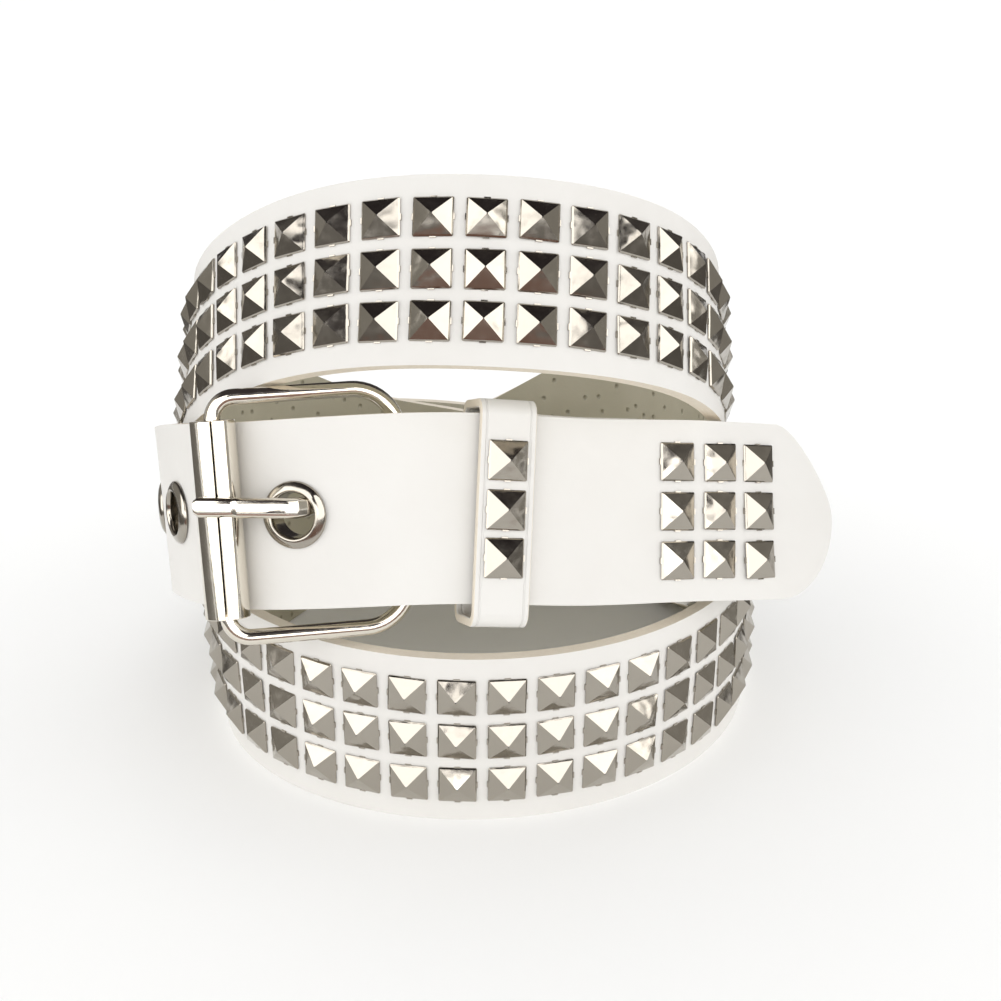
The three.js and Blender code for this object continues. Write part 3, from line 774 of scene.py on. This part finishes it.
# radius and height: the rolled back, the barrel, then the dome from its rim into the bore
eyelet_profile = [
    (bore, -face - 1.0),
    (bore + 1.5, -face - 1.0),
    (bore + 1.9, -face - 0.55),
    (bore + 0.5, -face - 0.4),
    (bore + 0.5, face),
    (flange, face - 0.05),
    (flange - 0.04, face + 0.35),
    (flange - 0.3, face + 0.62),
    (flange - 0.8, face + 0.95),
    (flange - 1.3, face + 1.2),
    (bore + 0.65, face + eyelet_dome),
    (bore + 0.35, face + 1.2),
    (bore + 0.12, face + 0.85),
    (bore, face + 0.3),
]
ring_pattern = turned_ring("eyelet_pattern", eyelet_profile, eyelet_sides)
smooth(ring_pattern, 50)
ring_pattern.data.materials.append(stud_nickel)
for i, length in enumerate(eyelet_lengths):
    place, along, across, out = frame_at(length)
    ring = copied(ring_pattern)
    ring.name = f"eyelet_ring_{i + 1}"
    move_mesh(ring, placed(place + out * eyelet_lift, -along, across, out))
    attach(ring, "belt")
    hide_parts(f"eyelet_{i + 1}")
bpy.data.objects.remove(ring_pattern)

# The keeper: a short band of the same leather, bent round the tip and the buckle end.
# A crease runs along both of its edges, and three studs are set in its face.
keeper_turn = -4.5
keeper_width = 11.5
keeper_thickness = 1.8
keeper_top_clearance = 1.1
keeper_bottom_clearance = 2.8
keeper_corner = 3.2
keeper_ease = 0.35
keeper_stud_pitch = 9.7
keeper_corner_steps = 8
keeper_width_steps = 10
keeper_edge_round = 0.35
crease_inset = 1.2
crease_reach = 0.3
keeper_place, keeper_along, keeper_across, keeper_out = frame_at(length_at(keeper_turn))


def levels_over(middle_length, half_length, half_width):
    """The highest and lowest levels of a stretch of strap, seen from the keeper's frame."""
    levels = []
    for share in (-1, -0.5, 0, 0.5, 1):
        place, _, across, _ = frame_at(middle_length + share * half_length)
        for up in (-half_width, half_width):
            levels.append((place + across * up - keeper_place) @ keeper_out)
    return max(levels), min(levels)


tip_levels = levels_over(length_at(keeper_turn), keeper_width / 2, strap_width / 2)
fold_levels = levels_over(
    length_at(keeper_turn + 360 * full_turns), keeper_width / 2, strap_width / 2
)
keeper_front = tip_levels[0] + strap_total / 2 + seat_gap + keeper_ease
keeper_back = fold_levels[1] - fold_closed - strap_total / 2 - seat_gap - keeper_ease


def keeper_band():
    """A grid wrapped round a rectangle with round corners, with its thickness outwards."""
    top = strap_width / 2 + keeper_top_clearance
    bottom = -strap_width / 2 - keeper_bottom_clearance
    around = []
    inner = keeper_corner - keeper_thickness
    for quarter, (up, out) in enumerate(
        [(top, keeper_front), (top, keeper_back), (bottom, keeper_back), (bottom, keeper_front)]
    ):
        centre_up = up - math.copysign(inner, up)
        centre_out = keeper_front - inner if out == keeper_front else keeper_back + inner
        for i in range(keeper_corner_steps + 1):
            angle = (quarter + i / keeper_corner_steps) * math.pi / 2
            ways = (math.sin(angle), math.cos(angle))
            around.append((centre_up + inner * ways[0], centre_out + inner * ways[1]))
    around.append(around[0])
    ups, outs = np.array(around).T
    onwards = np.linspace(-1, 1, keeper_width_steps + 1) * keeper_width / 2
    ring = keeper_place + keeper_across * ups[:, None] + keeper_out * outs[:, None]
    spots = ring[:, None] + keeper_along * onwards[:, None]
    lengths = np.linspace(0, 2 * (top - bottom), len(around))
    pattern = np.stack(np.broadcast_arrays(lengths[:, None], onwards), -1)
    obj = laid_grid("keeper_band", spots, pattern)
    for material in (creased_leather, cut_edge):
        obj.data.materials.append(material)
    closed_up(obj)
    apply_modifier(
        obj, "SOLIDIFY", thickness=keeper_thickness / 1000, offset=1, material_offset_rim=1
    )
    round_edges(obj, keeper_edge_round / 1000, 3, 50)
    smooth(obj, 40)
    return obj


# The same leather, with a hot crease pressed in near each edge.
creased_leather = white_leather.copy()
creased_leather.name = "creased_white_leather"
spread = add_node(creased_leather, "ShaderNodeTexCoord", {}).outputs["UV"]
from_middle = add_node(creased_leather, "ShaderNodeSeparateXYZ", {"Vector": spread})
half_way = add_node(
    creased_leather, "ShaderNodeMath", {0: from_middle.outputs["Y"]}, operation="ABSOLUTE"
)
crease_at = (keeper_width / 2 - crease_inset) / 1000
from_crease = add_node(
    creased_leather, "ShaderNodeMath", {0: half_way.outputs[0], 1: crease_at},
    operation="SUBTRACT",
)
crease_way = add_node(
    creased_leather, "ShaderNodeMath", {0: from_crease.outputs[0]}, operation="ABSOLUTE"
)
crease = add_node(
    creased_leather, "ShaderNodeMapRange",
    {"Value": crease_way.outputs[0], "From Min": 0, "From Max": crease_reach / 1000},
    interpolation_type="SMOOTHSTEP",
)
creased_skin = creased_leather.node_tree.nodes["Principled BSDF"]
creased_waves = creased_skin.inputs["Normal"].links[0].from_socket
creased = add_node(
    creased_leather, "ShaderNodeBump",
    {"Height": crease.outputs["Result"], "Strength": 0.6, "Distance": 0.0003,
     "Normal": creased_waves},
)
creased_leather.node_tree.links.new(creased.outputs["Normal"], creased_skin.inputs["Normal"])

keeper = keeper_band()
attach(keeper, "belt")
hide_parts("keeper")

for row, up in enumerate([keeper_stud_pitch, 0, -keeper_stud_pitch]):
    stud = set_stud(
        keeper_place, keeper_along, keeper_across, keeper_out, up,
        keeper_front + keeper_thickness - 0.05,
    )
    stud.name = f"keeper_cap_{row + 1}"
    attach(stud, "belt")
    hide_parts(f"keeper_stud_{row + 1}")
bpy.data.objects.remove(pattern_stud)

# The buckle frame: one steel wire, bent into a rounded rectangle, welded and nickel plated.
# Its hinge bar lies in the strap's fold, and its outer bar carries the roller.
frame_roller_corner = 4.5
wire_corner_steps = 12

# Nickel plate on polished wire: brighter and smoother than the studs' plate.
buckle_nickel, bright = new_material(
    "polished_nickel_plate", Base_Color=colour("#E2DCD0"), Metallic=1, Roughness=0.09
)
position = add_node(buckle_nickel, "ShaderNodeTexCoord", {}).outputs["Object"]
wear = add_node(
    buckle_nickel, "ShaderNodeTexNoise",
    {"Vector": position, "Scale": per_metre(3), "Detail": 5, "Roughness": 0.7},
)
wear_gloss = add_node(
    buckle_nickel, "ShaderNodeMapRange",
    {"Value": wear.outputs["Fac"], "From Min": 0.35, "From Max": 0.8, "To Min": 0.05,
     "To Max": 0.2},
)
buckle_nickel.node_tree.links.new(wear_gloss.outputs["Result"], bright.inputs["Roughness"])


def buckle_point(reach, out, along_bar):
    """A point by its distance from the hinge bar, out from the frame, and along the bars."""
    return hinge_centre + reach_way * reach + buckle_out * out + bar_way * along_bar


def wire_loop(name):
    """The wire as a closed curve with a round section, turned into a mesh."""
    curve = bpy.data.curves.new(name, "CURVE")
    curve.dimensions = "3D"
    curve.bevel_depth = wire_diameter / 2000
    curve.bevel_resolution = 6
    spline = curve.splines.new("POLY")
    points = []
    corners = [(1, 1), (-1, 1), (-1, -1), (1, -1)]
    for quarter, (reach_side, bar_side) in enumerate(corners):
        corner = frame_roller_corner if reach_side > 0 else frame_corner
        for i in range(wire_corner_steps + 1):
            angle = (quarter + i / wire_corner_steps) * math.pi / 2
            reach = reach_side * (frame_reach / 2 - corner) + corner * math.cos(angle)
            along_bar = bar_side * (frame_width / 2 - corner) + corner * math.sin(angle)
            points.append(buckle_point(frame_reach / 2 + reach, 0, along_bar) / 1000)
    spline.points.add(len(points) - 1)
    for point, spot in zip(spline.points, points):
        point.co = (*spot, 1)
    spline.use_cyclic_u = True
    obj = bpy.data.objects.new(name, curve)
    bpy.context.scene.collection.objects.link(obj)
    only(obj)
    bpy.ops.object.convert(target="MESH")
    smooth(obj, 60)
    return obj


wire = wire_loop("frame_wire")
wire.data.materials.append(buckle_nickel)
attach(wire, "belt")
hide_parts("buckle_frame")

# The roller: a strip of sheet steel rolled round the frame's outer bar and nickel plated.
# Its two long edges meet in an open seam, which faces out.
roller_length = 39.6
roller_wall = 1.1
roller_sides = 120
roller_seam = 0.5
roller_edge_round = 0.22


def rolled_sleeve(name):
    """A tube with its seam open along its length, and its long edges rounded."""
    only(strap)
    bpy.ops.mesh.primitive_cylinder_add(
        vertices=roller_sides, radius=roller_diameter / 2, depth=roller_length,
        end_fill_type="NOTHING", location=(0, 0, 0),
    )
    obj = made(name)
    seam_angle = roller_seam / roller_diameter
    select_faces(
        obj, lambda face: abs(math.atan2(face.center.y, face.center.x)) < seam_angle
    )
    bpy.ops.mesh.delete(type="FACE")
    bpy.ops.object.mode_set(mode="OBJECT")
    apply_modifier(obj, "SOLIDIFY", thickness=roller_wall, offset=-1)
    round_edges(obj, roller_edge_round, 3, 50)
    move_mesh(obj, placed(roller_centre, buckle_out, -reach_way, bar_way))
    smooth(obj, 45)
    return obj


roller = rolled_sleeve("roller_sleeve")
roller.data.materials.append(buckle_nickel)
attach(roller, "roller")
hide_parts("roller")

# The prong: a steel tongue, forged to a low ridge, curled round the hinge bar and plated.
# It comes up through the first eyelet and rests on the roller past a shallow step.
# The fold's slot lets it swing a little along the bar.
prong_overhang = 4.6
prong_swing = 4.5
prong_edge_round = 0.2
prong_eye_wall = 1.8
prong_eye_chamfer = 0.3
prong_eye_sides = 48
# the tongue's section: shares of its half width and of its thickness
tongue_section = [
    (-1, -0.5), (-1, 0.1), (-0.75, 0.42), (0, 0.5), (0.75, 0.42), (1, 0.1), (1, -0.5)
]


def prong_rings():
    """Rows of reach, level and half width along the tongue, from the bar to its end."""
    place, _, _, _ = frame_at(eyelet_lengths[0])
    hole_reach = (place - hinge_centre) @ reach_way
    hole_out = (place - hinge_centre) @ buckle_out
    ride = roller_diameter / 2 + piece_gap + prong_thickness / 2
    under = hole_out - strap_total / 2 - prong_thickness
    over = hole_out + strap_total / 2 + eyelet_dome
    half = prong_width / 2
    # from the hinge bar, up through the eyelet, along the strap and over the roller
    return [
        (wire_diameter / 2, -wire_diameter / 2 - 0.5, half * 0.9),
        (hole_reach - 7, under - 0.4, half * 0.9),
        (hole_reach - 4.2, under + 0.2, half * 0.9),
        (hole_reach - 2.7, hole_out - 0.4, half * 0.95),
        (hole_reach - 1.5, over + 0.6, half),
        (hole_reach + 0.2, over + 1.9, half),
        (hole_reach + 2.4, over + 2.2, half),
        (frame_reach - roller_diameter * 0.42, ride + 0.65, half),
        (frame_reach - roller_diameter * 0.34, ride + 0.15, half * 0.92),
        (frame_reach, ride, half * 0.98),
        (frame_reach + prong_overhang - 0.9, ride - 0.4, half * 0.98),
        (frame_reach + prong_overhang, ride - 0.5, half * 0.62),
    ]


def tongue(name):
    """The tongue's section carried along its rings, still open at both ends."""
    rings = np.array(prong_rings())
    ways = unit(np.gradient(rings[:, :2], axis=0))
    aside = math.tan(math.radians(prong_swing))
    spots = []
    for (reach, out, half), (way_reach, way_out) in zip(rings, ways):
        row = []
        for side, lift in [*tongue_section, tongue_section[0]]:
            thick = lift * prong_thickness
            along_bar = reach * aside + side * half
            row.append(buckle_point(reach - way_out * thick, out + way_reach * thick, along_bar))
        spots.append(row)
    return laid_grid(name, np.array(spots))


prong = tongue("prong_tongue")
closed_up(prong, len(tongue_section))
round_edges(prong, prong_edge_round / 1000, 2, 28)
smooth(prong, 30)
eye_inner = wire_diameter / 2 + prong_clearance
eye_outer = eye_inner + prong_eye_wall
eye_side = prong_width * 0.45
eye_rim = prong_width * 0.35
eye_profile = [
    (eye_inner, -eye_side),
    (eye_outer - prong_eye_chamfer, -eye_side),
    (eye_outer, -eye_rim),
    (eye_outer, eye_rim),
    (eye_outer - prong_eye_chamfer, eye_side),
    (eye_inner, eye_side),
]
eye = turned_ring("prong_eye", eye_profile, prong_eye_sides)
move_mesh(eye, placed(hinge_centre, reach_way, -buckle_out, bar_way))
smooth(eye, 40)
prong = merge([prong, eye], "prong_tongue")
prong.data.materials.append(buckle_nickel)
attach(prong, "belt")
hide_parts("prong")

# The studio: a pale seamless floor, lit evenly from all round but hardly from overhead.
# The metal sees a dark room, two broad soft boxes, the camera's dark back, and a dark table
# that is brown in front of the belt.
sky_light = 1.84
overhead_light = 0.25
box_light = 21
floor_reach = 7

bpy.context.scene.view_settings.view_transform = "Standard"


def card(name, low, high, code):
    """A flat card between two corners, in metres, in one plain colour."""
    only(strap)
    bpy.ops.mesh.primitive_plane_add(size=1)
    obj = made(name)
    low, high = Vector(low), Vector(high)
    across = Vector((high.x - low.x, 0, 0))
    upwards = Vector((0, high.y - low.y, high.z - low.z))
    for vertex in obj.data.vertices:
        vertex.co = low + across * (vertex.co.x + 0.5) + upwards * (vertex.co.y + 0.5)
    paint, _ = new_material(name, Base_Color=colour(code), Roughness=0.9)
    obj.data.materials.append(paint)
    return obj


card(
    "white_paper_floor", (-floor_reach, -floor_reach, 0), (floor_reach, floor_reach, 0), "#F9F9F8"
)
table_level = 0.001
table_brown = "#7F5543"
table_grey = "#5C5751"
only_in_metal = [
    card("table_front", (-0.19, -1.4, table_level), (0.19, -0.17, table_level), table_brown),
    card("table_left", (-1.5, -1.4, table_level), (-0.19, 1.2, table_level), table_grey),
    card("table_right", (0.19, -1.4, table_level), (1.5, 1.2, table_level), table_grey),
    card("camera_back", (-0.14, -0.9, 0.47), (0.14, -0.9, 1.35), "#3C3637"),
]
for dark in only_in_metal:
    dark.visible_camera = dark.visible_diffuse = dark.visible_shadow = False

room = bpy.data.worlds.new("room")
bpy.context.scene.world = room
room.use_nodes = True
sky = room.node_tree.nodes["Background"]
sky.inputs["Color"].default_value = (1, 1, 1, 1)
way = add_node(room, "ShaderNodeTexCoord", {}).outputs["Generated"]
parts = add_node(room, "ShaderNodeSeparateXYZ", {"Vector": way})
sky_strength = add_node(
    room, "ShaderNodeMapRange",
    {"Value": parts.outputs["Z"], "From Min": 0.6, "From Max": 0.87, "To Min": sky_light,
     "To Max": overhead_light},
)
room.node_tree.links.new(sky_strength.outputs["Result"], sky.inputs["Strength"])
sideways = add_node(
    room, "ShaderNodeMath", {0: parts.outputs["X"]}, operation="ABSOLUTE"
).outputs[0]
to_side = add_node(
    room, "ShaderNodeMapRange", {"Value": sideways, "From Min": 0.45, "From Max": 0.85},
    interpolation_type="SMOOTHSTEP",
).outputs["Result"]
walls = add_node(
    room, "ShaderNodeMix", {0: to_side, 6: colour("#3A3536"), 7: colour("#A9A6A0")},
    data_type="RGBA",
).outputs[2]
seen = add_node(room, "ShaderNodeBackground", {"Color": walls, "Strength": 1})
ray = add_node(room, "ShaderNodeLightPath", {})
both = add_node(
    room, "ShaderNodeMixShader",
    {0: ray.outputs["Is Glossy Ray"], 1: sky.outputs[0], 2: seen.outputs[0]},
)
room_output = room.node_tree.nodes["World Output"]
room.node_tree.links.new(both.outputs[0], room_output.inputs["Surface"])

box_distance = 1.3
box_size = (1.9, 1.27)
box_aside = math.radians(36)
box_up = math.radians(28)
belt_middle = Vector((0, -0.06, 0.06))


def way_towards(side, aside, up):
    """The direction to a light on this side of the camera."""
    level = math.cos(up)
    return Vector((side * math.sin(aside) * level, -math.cos(aside) * level, math.sin(up)))


for side, name in ((-1, "left"), (1, "right")):
    light = bpy.data.lights.new("soft_box_" + name, "AREA")
    light.shape = "RECTANGLE"
    light.size, light.size_y = box_size
    light.energy = box_light
    box = bpy.data.objects.new(light.name, light)
    bpy.context.scene.collection.objects.link(box)
    way_out = way_towards(side, box_aside, box_up)
    box.location = belt_middle + way_out * box_distance
    box.rotation_euler = (-way_out).to_track_quat("-Z", "Y").to_euler()
    box.visible_diffuse = False

# The camera stands where the photograph was taken from, to the coil's front and above it.
# Its place and lens were fitted to the studs' rows and columns.
camera_aside = 5.06
camera_away = 338.6
camera_height = 180.1
camera_tilt = math.radians(22.004)
camera_lens = 53.5
camera_place = Vector((coil_axis[0] + camera_aside, coil_axis[1] - camera_away, camera_height))
camera = bpy.data.cameras.new("camera")
camera.lens = camera_lens
camera.sensor_width = 36
viewer = bpy.data.objects.new("camera", camera)
bpy.context.scene.collection.objects.link(viewer)
viewer.location = camera_place / 1000
viewer.rotation_euler = (math.pi / 2 - camera_tilt, 0, 0)
bpy.context.scene.camera = viewer
